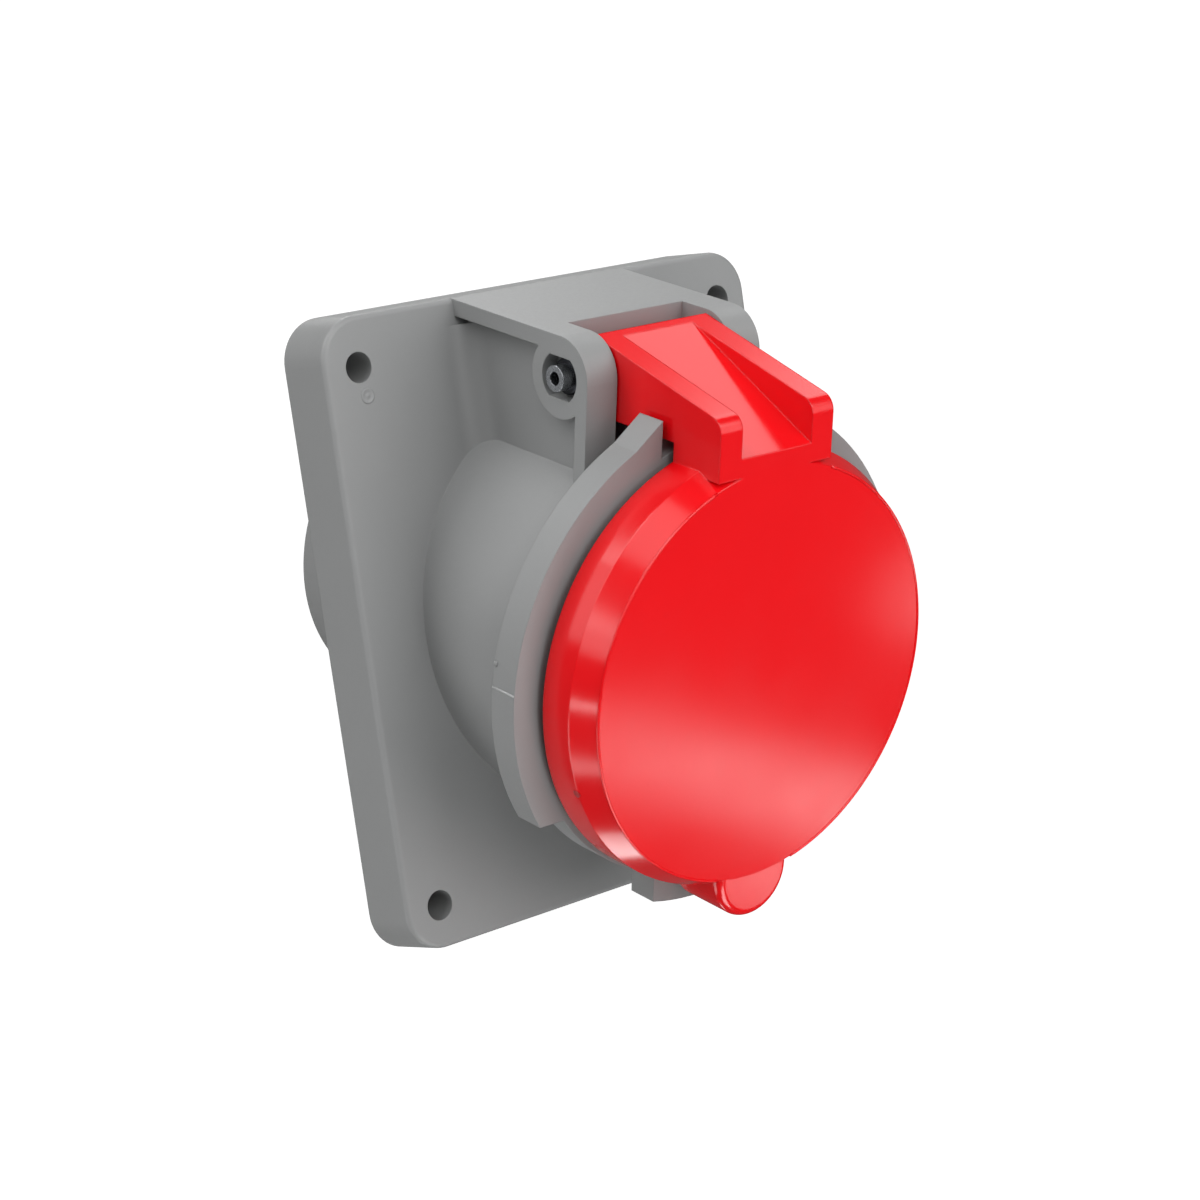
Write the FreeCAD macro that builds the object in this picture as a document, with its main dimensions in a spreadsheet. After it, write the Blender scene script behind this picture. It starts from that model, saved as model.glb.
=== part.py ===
"""Industrial panel socket with an inclined socket, a four hole flange and a sprung lid.

Millimetres, +Z up. The origin is the middle of the flange's mounting face, X points right and the
socket looks towards -Y. The socket's own frame is tilted: its axis crosses the flange's front face
just below the middle, "forward" runs out along that axis, and "up" is square to it.
"""
import FreeCAD, Part
import Sketcher
import math
import os

doc = FreeCAD.newDocument("PanelSocket")
sheet = doc.addObject("Spreadsheet::Sheet", "Sizes")


class Size(float):
    """A length or angle that also carries the sheet expression it comes from."""

    def __new__(cls, value, text):
        size = super().__new__(cls, value)
        size.text = text
        return size

    def __add__(self, other):
        return Size(float(self) + float(other), "({} + {})".format(self.text, written(other)))

    def __sub__(self, other):
        return Size(float(self) - float(other), "({} - {})".format(self.text, written(other)))

    def __mul__(self, other):
        return Size(float(self) * float(other), "({} * {})".format(self.text, written(other)))

    def __truediv__(self, other):
        return Size(float(self) / float(other), "({} / {})".format(self.text, written(other)))

    def __neg__(self):
        return Size(-float(self), "(0 - {})".format(self.text))


def written(value):
    """Return the expression of a size, or the digits of a plain number."""
    return value.text if isinstance(value, Size) else repr(float(value))


def sine(angle):
    """Return the sine of an angle in degrees."""
    return Size(math.sin(math.radians(angle)), "sin({})".format(written(angle)))


def cosine(angle):
    """Return the cosine of an angle in degrees."""
    return Size(math.cos(math.radians(angle)), "cos({})".format(written(angle)))


def root(value):
    """Return a square root."""
    return Size(math.sqrt(value), "sqrt({})".format(written(value)))


row_count = 0


def cell(alias, value):
    """Put one driving dimension in the sheet and return it as a size."""
    global row_count
    row_count += 1
    sheet.set("A{}".format(row_count), alias)
    sheet.set("B{}".format(row_count), repr(float(value)))
    sheet.setAlias("B{}".format(row_count), alias)
    return Size(value, "Sizes.{}".format(alias))


# Flange. Cuts run past the faces they open by the overrun.
overrun = cell("overrun", 4)
tilt = cell("tilt", 15)
axis_drop = cell("axis_drop", 0.8)
flange_width = cell("flange_width", 100)
flange_height = cell("flange_height", 116.4)
flange_depth = cell("flange_depth", 12.3)
flange_corner = cell("flange_corner", 8)
flange_edge = cell("flange_edge", 1)
foot_draft = cell("foot_draft", 1.2)
flange_wall = cell("flange_wall", 3.2)
flange_rim = cell("flange_rim", 5.8)
fixing_across = cell("fixing_across", 85.5)
fixing_up = cell("fixing_up", 98)
fixing_hole = cell("fixing_hole", 5.5)
fixing_boss = cell("fixing_boss", 6.2)
groove_inset = cell("groove_inset", 1.7)
groove_width = cell("groove_width", 2.4)
groove_depth = cell("groove_depth", 1.8)

# Collar, its front ring, lugs and keyway.
bore_radius = cell("bore_radius", 34.5)
collar_wall = cell("collar_wall", 2.5)
collar_root = cell("collar_root", 26)
mouth_front = cell("mouth_front", 41.8)
ring_start = cell("ring_start", 29.8)
ring_length = cell("ring_length", 6)
ring_radius = cell("ring_radius", 41.4)
lug_radius = cell("lug_radius", 45.8)
lug_gap_half = cell("lug_gap_half", 14.3)
lug_bottom = cell("lug_bottom", 23.7)
lug_end_up = cell("lug_end_up", 45.6)
key_lug_half = cell("key_lug_half", 12)
key_lug_radius = cell("key_lug_radius", 47.3)
bulge_half = cell("bulge_half", 4.8)
bulge_reach = cell("bulge_reach", 40.8)
keyway_half = cell("keyway_half", 3.4)
keyway_reach = cell("keyway_reach", 39.6)
keyway_start = cell("keyway_start", 30.6)
ledge_length = cell("ledge_length", 4)
ledge_bore = cell("ledge_bore", 25.8)

# Hinge block and pin.
block_half = cell("block_half", 20.35)
block_top = cell("block_top", 56.8)
block_foot = cell("block_foot", 30)
block_front = cell("block_front", 22.7)
block_rib = cell("block_rib", 3)
block_sink = cell("block_sink", 0.8)
side_recess = cell("side_recess", 2.75)
side_blend = cell("side_blend", 5)
notch_half = cell("notch_half", 13.5)
notch_back = cell("notch_back", 9)
pin_forward = cell("pin_forward", 15.2)
pin_up = cell("pin_up", 49.3)
pin_radius = cell("pin_radius", 2.35)
pin_bore = cell("pin_bore", 1.25)
pin_proud = cell("pin_proud", 1.05)
pin_clearance = cell("pin_clearance", 0.05)
ear_corner = cell("ear_corner", 7.4)
ear_boss = cell("ear_boss", 7.4)
notch_relief = cell("notch_relief", 7.6)
seat_radius = cell("seat_radius", 4.65)
seat_flat_half = cell("seat_flat_half", 3.75)
seat_depth = cell("seat_depth", 3.2)
retainer_radius = cell("retainer_radius", 3.4)
retainer_length = cell("retainer_length", 1.6)
retainer_edge = cell("retainer_edge", 0.5)

# Lid.
lid_rear = cell("lid_rear", 37.5)
lid_radius = cell("lid_radius", 40.8)
lid_inside = cell("lid_inside", 38.6)
lid_bevel_start = cell("lid_bevel_start", 44.3)
lid_rim_front = cell("lid_rim_front", 49.2)
lid_rim_radius = cell("lid_rim_radius", 38.4)
crown_rise = cell("crown_rise", 1)
crown_flat = cell("crown_flat", 0.6)
lid_ceiling = cell("lid_ceiling", 46.6)
tab_radius = cell("tab_radius", 8.4)
tab_inside = cell("tab_inside", 6.9)
tab_drop = cell("tab_drop", 38.4)
tab_front = cell("tab_front", 49.2)
tab_edge = cell("tab_edge", 1.5)
arm_half = cell("arm_half", 13.2)
arm_gap_half = cell("arm_gap_half", 8.2)
arm_rear = cell("arm_rear", 15.8)
arm_rear_up = cell("arm_rear_up", 56.1)
arm_front_up = cell("arm_front_up", 48.4)
arm_under = cell("arm_under", 42)
arm_nose = cell("arm_nose", 3)
web_rear = cell("web_rear", 17.8)
web_rear_up = cell("web_rear_up", 55.6)
web_front = cell("web_front", 49.2)
web_front_up = cell("web_front_up", 41.1)
web_wall = cell("web_wall", 2.6)
barrel_radius = cell("barrel_radius", 5.4)
spring_room_half = cell("spring_room_half", 7.4)
spring_room_radius = cell("spring_room_radius", 4.6)
gasket_inside = cell("gasket_inside", 33.9)
gasket_outside = cell("gasket_outside", 38.2)

# Return spring.
spring_wire = cell("spring_wire", 0.55)
spring_coil = cell("spring_coil", 3.5)
coil_spacing = cell("coil_spacing", 1.35)
spring_turns = cell("spring_turns", 7)
spring_lift = cell("spring_lift", 25)
spring_tail = cell("spring_tail", 5.9)
spring_arm = cell("spring_arm", 6.8)

# Insulating insert, contacts and terminals.
insert_clearance = cell("insert_clearance", 0.25)
carrier_radius = cell("carrier_radius", 27)
carrier_front = cell("carrier_front", 37.8)
carrier_edge = cell("carrier_edge", 1)
contact_circle = cell("contact_circle", 17)
line_pin = cell("line_pin", 3)
earth_pin = cell("earth_pin", 4)
entry_clearance = cell("entry_clearance", 0.3)
sleeve_wall = cell("sleeve_wall", 1.2)
sleeve_front = cell("sleeve_front", 34.5)
sleeve_root = cell("sleeve_root", 12)
sleeve_slot = cell("sleeve_slot", 0.8)
channel_front = cell("channel_front", 35)
channel_gap = cell("channel_gap", 1.5)
stop_length = cell("stop_length", 2.5)
stop_extra = cell("stop_extra", 0.4)
spring_ring_wall = cell("spring_ring_wall", 0.8)
spring_ring_length = cell("spring_ring_length", 5)
spring_ring_front = cell("spring_ring_front", 32)
pillar_extra = cell("pillar_extra", 0.4)
pillar_clearance = cell("pillar_clearance", 0.2)
pillar_rear = cell("pillar_rear", 36)
wire_bore = cell("wire_bore", 2.7)
wire_depth = cell("wire_depth", 16)
clamp_back = cell("clamp_back", 28)
clamp_radius = cell("clamp_radius", 2)
clamp_top = cell("clamp_top", 24.5)
clamp_slot = cell("clamp_slot", 0.8)
access_radius = cell("access_radius", 3)
plate_radius = cell("plate_radius", 25.5)
shell_gap = cell("shell_gap", 2)
shell_rear = cell("shell_rear", 45.2)
shell_step = cell("shell_step", 4)
shell_edge = cell("shell_edge", 0.8)
seal_length = cell("seal_length", 1)
screw_radius = cell("screw_radius", 1.5)
screw_head = cell("screw_head", 2.8)
screw_head_length = cell("screw_head_length", 2)
screw_slot = cell("screw_slot", 0.8)
screw_slot_depth = cell("screw_slot_depth", 1)
head_clearance = cell("head_clearance", 0.3)
carrier_screw_circle = cell("carrier_screw_circle", 22)
carrier_screw_length = cell("carrier_screw_length", 9)
shell_screw_circle = cell("shell_screw_circle", 28.3)
shell_screw_seat = cell("shell_screw_seat", 10)
shell_screw_length = cell("shell_screw_length", 13)

doc.recompute()

collar_radius = bore_radius + collar_wall
ring_front = ring_start + ring_length
lid_crown = lid_rim_front + crown_rise
shell_radius = bore_radius - shell_gap

XY, XZ, YZ = "XY_Plane", "XZ_Plane", "YZ_Plane"


def bind(target, path, size):
    """Bind one property to its sheet expression."""
    target.setExpression(path, written(size))


def fix(sketch, kind, first, first_end, second, second_end, size):
    """Add a distance between two points, kept positive so that its sense can't flip."""
    if size < 0:
        first, first_end, second, second_end, size = second, second_end, first, first_end, -size
    index = sketch.addConstraint(
        Sketcher.Constraint(kind, first, first_end, second, second_end, float(size)))
    if isinstance(size, Size):
        bind(sketch, "Constraints[{}]".format(index), size)


def locate(sketch, item, end, x, y):
    """Fix a point of a sketch at x and y from the sketch's origin."""
    for kind, axis, value in (("DistanceX", -2, x), ("DistanceY", -1, y)):
        if value is None:
            continue
        if float(value) == 0:
            sketch.addConstraint(Sketcher.Constraint("PointOnObject", item, end, axis))
        else:
            fix(sketch, kind, -1, 1, item, end, value)


def vector(x, y):
    """Return a point in a sketch."""
    return FreeCAD.Vector(float(x), float(y), 0)


def add_polygon(sketch, points):
    """Draw a closed polygon with every corner bound to the sheet."""
    first = sketch.GeometryCount
    count = len(points)
    for index in range(count):
        start, end = points[index], points[(index + 1) % count]
        sketch.addGeometry(Part.LineSegment(vector(*start), vector(*end)), False)
    for index in range(count):
        following = first + (index + 1) % count
        sketch.addConstraint(Sketcher.Constraint("Coincident", first + index, 2, following, 1))
    for index, point in enumerate(points):
        locate(sketch, first + index, 1, *point)


def add_box(sketch, left, right, bottom, top):
    """Draw a rectangle."""
    add_polygon(sketch, [(left, bottom), (right, bottom), (right, top), (left, top)])


def add_circle(sketch, radius, x=0, y=0):
    """Draw a circle."""
    circle = Part.Circle(vector(x, y), FreeCAD.Vector(0, 0, 1), float(radius))
    item = sketch.addGeometry(circle, False)
    locate(sketch, item, 3, x, y)
    index = sketch.addConstraint(Sketcher.Constraint("Radius", item, float(radius)))
    bind(sketch, "Constraints[{}]".format(index), radius)


def add_arc(sketch, radius, x, y, start, end):
    """Draw an arc about a fixed centre and bind its radius."""
    circle = Part.Circle(vector(x, y), FreeCAD.Vector(0, 0, 1), float(radius))
    item = sketch.addGeometry(Part.ArcOfCircle(circle, start, end), False)
    locate(sketch, item, 3, x, y)
    index = sketch.addConstraint(Sketcher.Constraint("Radius", item, float(radius)))
    bind(sketch, "Constraints[{}]".format(index), radius)
    return item


def add_rounded_box(sketch, half_width, half_height, corner, lift=0):
    """Draw a rectangle with four equal round corners, its bottom side raised by the lift."""
    inner_x, inner_y = half_width - corner, half_height - corner
    low = inner_y - lift
    quarter = math.pi / 2
    centres = [(inner_x, inner_y), (-inner_x, inner_y), (-inner_x, -low), (inner_x, -low)]
    arcs = []
    for index, (x, y) in enumerate(centres):
        arcs.append(add_arc(sketch, corner, x, y, index * quarter, (index + 1) * quarter))
    ends = [((inner_x, half_height), (-inner_x, half_height)),
            ((-half_width, inner_y), (-half_width, -low)),
            ((-inner_x, -low - corner), (inner_x, -low - corner)),
            ((half_width, -low), (half_width, inner_y))]
    for index, (start, end) in enumerate(ends):
        line = sketch.addGeometry(Part.LineSegment(vector(*start), vector(*end)), False)
        sketch.addConstraint(Sketcher.Constraint("Tangent", arcs[index], 2, line, 1))
        sketch.addConstraint(Sketcher.Constraint("Tangent", line, 2, arcs[(index + 1) % 4], 1))


def add_blend(sketch, side, wall, radius):
    """Draw a concave corner between the flange's front face and a wall that stands on it."""
    face, inside = -flange_depth, 1
    x, y = (wall + radius) * side, face - radius
    start = math.pi / 2 if side > 0 else 0
    arc = add_arc(sketch, radius, x, y, start, start + math.pi / 2)
    corners = [(x, face), (x, face + inside), ((wall - inside) * side, face + inside),
               ((wall - inside) * side, y), (wall * side, y)]
    if side > 0:
        corners.reverse()
    lines = []
    for first, second in zip(corners, corners[1:]):
        lines.append(sketch.addGeometry(Part.LineSegment(vector(*first), vector(*second)), False))
    for line, following in zip(lines, lines[1:]):
        sketch.addConstraint(Sketcher.Constraint("Coincident", line, 2, following, 1))
    sketch.addConstraint(Sketcher.Constraint("Coincident", arc, 2, lines[0], 1))
    sketch.addConstraint(Sketcher.Constraint("Coincident", lines[-1], 2, arc, 1))
    for line, corner in zip(lines[1:], corners[1:]):
        locate(sketch, line, 1, *corner)
    on_face, on_wall = ((lines[-1], 2), (lines[0], 1)) if side > 0 else ((lines[0], 1), (lines[-1], 2))
    locate(sketch, *on_face, x, None)
    locate(sketch, *on_wall, None, y)


def add_flatted_circle(sketch, radius, x, y, half_flat):
    """Draw a circle with its top and bottom cut flat."""
    reach = root(radius * radius - half_flat * half_flat)
    turn = math.asin(half_flat / radius)
    right = add_arc(sketch, radius, x, y, -turn, turn)
    left = add_arc(sketch, radius, x, y, math.pi - turn, math.pi + turn)
    for side, first, second in ((1, right, left), (-1, left, right)):
        level = y + half_flat * side
        line = sketch.addGeometry(
            Part.LineSegment(vector(x + reach * side, level), vector(x - reach * side, level)), False)
        sketch.addConstraint(Sketcher.Constraint("Coincident", first, 2, line, 1))
        sketch.addConstraint(Sketcher.Constraint("Coincident", line, 2, second, 1))
        sketch.addConstraint(Sketcher.Constraint("Horizontal", line))
        locate(sketch, line, 1, None, level)


class SubPart:
    """One real piece, built in the tilted frame of the socket unless it says otherwise."""

    def __init__(self, name, in_socket=True, many=False):
        self.name = name
        self.body = doc.addObject("PartDesign::Body", name)
        self.body.Label = name
        self.body.AllowCompound = many
        turn = FreeCAD.Rotation(FreeCAD.Vector(1, 0, 0), 1)
        if in_socket:
            self.body.Placement = FreeCAD.Placement(FreeCAD.Vector(0, 0, 0), turn)
            bind(self.body, ".Placement.Base.y", -flange_depth)
            bind(self.body, ".Placement.Base.z", -axis_drop)
            bind(self.body, ".Placement.Rotation.Angle", tilt)

    def sketch(self, plane, base=(0, 0, 0), axis=None, angle=None):
        """Make a sketch on one of the body's own origin planes, moved by base and turned."""
        count = len(self.body.Group)
        sketch = self.body.newObject("Sketcher::SketchObject", "{}_sketch_{}".format(self.name, count))
        planes = self.body.Origin.OriginFeatures
        sketch.AttachmentSupport = ([item for item in planes if item.Role == plane][0], [""])
        sketch.MapMode = "FlatFace"
        turn = FreeCAD.Rotation(FreeCAD.Vector(*(axis or (0, 0, 1))), float(angle or 0))
        sketch.AttachmentOffset = FreeCAD.Placement(FreeCAD.Vector(*[float(item) for item in base]), turn)
        for letter, value in zip("xyz", base):
            if isinstance(value, Size):
                bind(sketch, ".AttachmentOffset.Base.{}".format(letter), value)
        if isinstance(angle, Size):
            bind(sketch, ".AttachmentOffset.Rotation.Angle", angle)
        return sketch

    def across(self, forward=0):
        """Make a sketch square to the body's Y axis, this far forward: x is right, y is up."""
        return self.sketch(XZ, base=(0, 0, forward))

    def on_flange(self, level):
        """Make a sketch parallel to the panel, this far in front of the mounting face."""
        back = flange_depth - level
        up = axis_drop * cosine(tilt) - back * sine(tilt)
        base = (0, up, -(back * cosine(tilt) + axis_drop * sine(tilt)))
        return self.sketch(XZ, base=base, axis=(1, 0, 0), angle=-tilt)

    def over_flange(self, up):
        """Make a sketch square to the flange's own height, this far up: x is right, y is backward."""
        level = axis_drop + up
        base = (0, flange_depth * cosine(tilt) + level * sine(tilt),
                level * cosine(tilt) - flange_depth * sine(tilt))
        return self.sketch(XY, base=base, axis=(1, 0, 0), angle=-tilt)

    def beside(self, right=0):
        """Make a sketch square to X, this far right: x is backward, y is up."""
        return self.sketch(YZ, base=(0, 0, right))

    def facing(self, angle, reach):
        """Make a sketch that faces away from the socket axis: x is backward."""
        base = (0, sine(angle) * reach, cosine(angle) * reach)
        return self.sketch(YZ, base=base, axis=(1, 0, 0), angle=Size(-float(angle), "-" + written(angle)))

    def volume(self):
        """Return the volume that the body has so far."""
        doc.recompute()
        shape = self.body.Shape
        return 0.0 if shape.isNull() else shape.Volume

    def feature(self, kind, sketch, grows, **settings):
        """Add a feature made from a sketch, and see that it adds or removes material."""
        before = self.volume()
        item = self.body.newObject("PartDesign::" + kind, "{}_{}_{}".format(
            self.name, kind, len(self.body.Group)))
        item.Profile = sketch
        for key, value in settings.items():
            if isinstance(value, Size):
                setattr(item, key, float(value))
                bind(item, key, value)
            else:
                setattr(item, key, value)
        sketch.Visibility = False
        change = self.volume() - before
        if (change > 0) != grows or abs(change) < 1e-3:
            raise RuntimeError("{} changed the volume of {} by {:.4f}".format(item.Name, self.name, change))
        return item

    def pad(self, sketch, length, middle=False):
        """Add a straight extrusion, towards the sketch's own normal."""
        return self.feature("Pad", sketch, True, Length=length, Midplane=middle)

    def cut(self, sketch, length, middle=False):
        """Remove a straight extrusion, away from the sketch's own normal."""
        return self.feature("Pocket", sketch, False, Length=length, Midplane=middle)

    def turn(self, points, grows=True):
        """Turn a profile of (forward, radius) corners about the body's Y axis."""
        sketch = self.beside()
        add_polygon(sketch, [(-forward, radius) for forward, radius in points])
        kind = "Revolution" if grows else "Groove"
        return self.feature(kind, sketch, grows, ReferenceAxis=(sketch, ["H_Axis"]), Angle=360.0)

    def edges(self, wanted):
        """Return the names of the edges whose middle and ends satisfy a test."""
        names = []
        for index, edge in enumerate(self.body.Shape.Edges):
            start, end = edge.ParameterRange
            points = [edge.valueAt(start + (end - start) * part) for part in (0.0, 0.25, 0.5, 0.75, 1.0)]
            points = [self.body.Placement.inverse().multVec(point) for point in points]
            if all(wanted(point) for point in points):
                names.append("Edge{}".format(index + 1))
        return names

    def soften(self, kind, wanted, radius):
        """Round or chamfer the edges that satisfy a test."""
        doc.recompute()
        names = self.edges(wanted)
        if not names:
            raise RuntimeError("no edge to soften in " + self.name)
        base = self.body.Tip
        item = self.body.newObject("PartDesign::" + kind, "{}_{}_{}".format(
            self.name, kind, len(self.body.Group)))
        item.Base = (base, names)
        key = "Radius" if kind == "Fillet" else "Size"
        setattr(item, key, float(radius))
        bind(item, key, radius)
        doc.recompute()
        return item


def near(value, target):
    """Tell whether two lengths are the same."""
    return abs(float(value) - float(target)) < 0.01


def plane_distance(point):
    """Return how far a point in the socket frame stands in front of the mounting face."""
    turn = math.radians(tilt)
    return flange_depth + -point.y * math.cos(turn) + point.z * math.sin(turn)


def make_flange_housing():
    """One moulding: flange, inclined collar with its ring and lugs, and the hinge block."""
    part = SubPart("flange_housing")
    rear, front = part.on_flange(0), part.on_flange(flange_depth)
    for plate, lift in ((rear, 0), (front, foot_draft)):
        add_rounded_box(plate, flange_width / 2, flange_height / 2, flange_corner, lift)
    part.feature("AdditiveLoft", rear, True, Sections=[front], Ruled=True)
    part.soften("Fillet", lambda point: near(plane_distance(point), flange_depth), flange_edge)

    hollow = part.on_flange(flange_depth - flange_wall)
    inner_x, inner_z = flange_width / 2 - flange_rim, flange_height / 2 - flange_rim
    add_rounded_box(hollow, inner_x, inner_z, flange_corner - flange_rim / 2)
    part.cut(hollow, flange_depth - flange_wall)

    corners = [(fixing_across / 2 * side, fixing_up / 2 * level) for side in (-1, 1) for level in (-1, 1)]
    bosses = part.on_flange(0)
    for x, z in corners:
        add_circle(bosses, fixing_boss, x, z)
    part.pad(bosses, flange_depth - flange_wall / 2)

    slope = sine(tilt) / cosine(tilt)
    block = part.beside()
    add_polygon(block, [(block_top * slope + block_sink, block_top), (-block_front, block_top),
                        (-block_front, block_foot), (block_foot * slope + block_sink, block_foot)])
    part.pad(block, block_half * 2, middle=True)
    part.soften("Fillet", lambda point: near(-point.y, block_front) and near(point.z, block_top),
                ear_corner)
    for side in (-1, 1):
        recess = part.beside(block_half if side > 0 else side_recess - block_half)
        front = block_front - block_rib
        top = block_top - block_rib
        low = block_foot - 2
        add_polygon(recess, [(top * slope, top), (-front, top), (-front, low), (low * slope, low)])
        part.cut(recess, side_recess)
    blends = part.over_flange(block_foot - 2)
    for side in (-1, 1):
        add_blend(blends, side, block_half - side_recess, side_blend)
    part.pad(blends, block_top - block_rib / 2 - block_foot)
    ears = part.beside()
    add_circle(ears, ear_boss, -pin_forward, pin_up)
    part.pad(ears, block_half * 2, middle=True)
    notch = part.beside()
    add_box(notch, -block_front - 2, -notch_back, block_foot - 2, block_top + 2)
    part.cut(notch, notch_half * 2, middle=True)
    relief = part.beside()
    add_circle(relief, notch_relief, -pin_forward, pin_up)
    part.cut(relief, notch_half * 2, middle=True)

    collar = part.across(-collar_root)
    add_circle(collar, collar_radius)
    part.pad(collar, collar_root + mouth_front)
    lugs = part.across(ring_start)
    add_circle(lugs, lug_radius)
    part.pad(lugs, ring_length)
    reach = lug_gap_half * lug_gap_half + lug_end_up * lug_end_up
    slope = lug_radius * root(reach - lug_radius * lug_radius)
    touch_x = (lug_radius * lug_radius * lug_gap_half + slope * lug_end_up) / reach
    touch_up = (lug_radius * lug_radius * lug_end_up - slope * lug_gap_half) / reach
    shoulders = part.across(ring_start)
    for side in (-1, 1):
        add_polygon(shoulders, [(lug_gap_half * side, lug_end_up), (touch_x * side, touch_up - 1),
                                (lug_gap_half * side, bore_radius)])
    part.pad(shoulders, ring_length)
    gap = part.across(ring_front)
    add_box(gap, -lug_gap_half, lug_gap_half, bore_radius - overrun, lug_radius + overrun)
    part.cut(gap, ring_length)
    below = part.across(ring_front)
    add_box(below, -lug_radius - 1, lug_radius + 1, -lug_radius - 1, -lug_bottom)
    part.cut(below, ring_length)
    key = part.across(ring_start)
    reach = root(key_lug_radius * key_lug_radius - key_lug_half * key_lug_half)
    turn = math.asin(key_lug_half / key_lug_radius)
    arc = add_arc(key, key_lug_radius, 0, 0, 1.5 * math.pi - turn, 1.5 * math.pi + turn)
    corners_up = [(key_lug_half, -reach), (key_lug_half, -bore_radius + 2),
                  (-key_lug_half, -bore_radius + 2), (-key_lug_half, -reach)]
    lines = []
    for start, end in zip(corners_up, corners_up[1:]):
        lines.append(key.addGeometry(Part.LineSegment(vector(*start), vector(*end)), False))
    key.addConstraint(Sketcher.Constraint("Coincident", arc, 2, lines[0], 1))
    key.addConstraint(Sketcher.Constraint("Coincident", lines[0], 2, lines[1], 1))
    key.addConstraint(Sketcher.Constraint("Coincident", lines[1], 2, lines[2], 1))
    key.addConstraint(Sketcher.Constraint("Coincident", lines[2], 2, arc, 1))
    locate(key, lines[0], 1, key_lug_half, None)
    locate(key, lines[1], 1, *corners_up[1])
    locate(key, lines[2], 1, *corners_up[2])
    locate(key, lines[2], 2, -key_lug_half, None)
    part.pad(key, ring_length)
    ring = part.across(ring_start)
    add_circle(ring, ring_radius)
    part.pad(ring, ring_length)
    bulge = part.across(ring_start)
    add_box(bulge, -bulge_half, bulge_half, -bulge_reach, -bore_radius + 1)
    part.pad(bulge, mouth_front - ring_start)

    behind = part.on_flange(0)
    add_box(behind, -flange_width, flange_width, -flange_height, flange_height)
    part.cut(behind, collar_root * 2)
    mouth = part.across(mouth_front)
    add_circle(mouth, bore_radius)
    part.cut(mouth, mouth_front - ledge_length)
    ledge = part.across(ledge_length)
    add_circle(ledge, ledge_bore)
    part.cut(ledge, ledge_length)
    rear = part.across(0)
    add_circle(rear, bore_radius)
    part.cut(rear, collar_root + 2)
    keyway = part.across(mouth_front)
    add_box(keyway, -keyway_half, keyway_half, -keyway_reach, -bore_radius + 3)
    part.cut(keyway, mouth_front - keyway_start)

    for side in (-1, 1):
        seat = part.beside(block_half if side > 0 else seat_depth - block_half)
        add_flatted_circle(seat, seat_radius, -pin_forward, pin_up, seat_flat_half)
        part.cut(seat, seat_depth)
    pin_hole = part.beside()
    add_circle(pin_hole, pin_radius, -pin_forward, pin_up)
    part.cut(pin_hole, block_half * 2 + 2, middle=True)
    holes = part.on_flange(flange_depth + 1)
    for x, z in corners:
        add_circle(holes, fixing_hole / 2, x, z)
    part.cut(holes, flange_depth + 2)
    groove = part.on_flange(groove_depth)
    draw_gasket_loop(groove)
    part.cut(groove, groove_depth)
    screws = part.across(ledge_length)
    for angle in shell_screw_angles:
        add_circle(screws, screw_radius, *on_circle(shell_screw_circle, angle))
    part.cut(screws, ledge_length)
    return part


def draw_gasket_loop(sketch):
    """Draw the loop that the flange gasket and its groove share."""
    for inset in (groove_inset, groove_inset + groove_width):
        add_rounded_box(sketch, flange_width / 2 - inset, flange_height / 2 - inset, flange_corner - inset)


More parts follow.
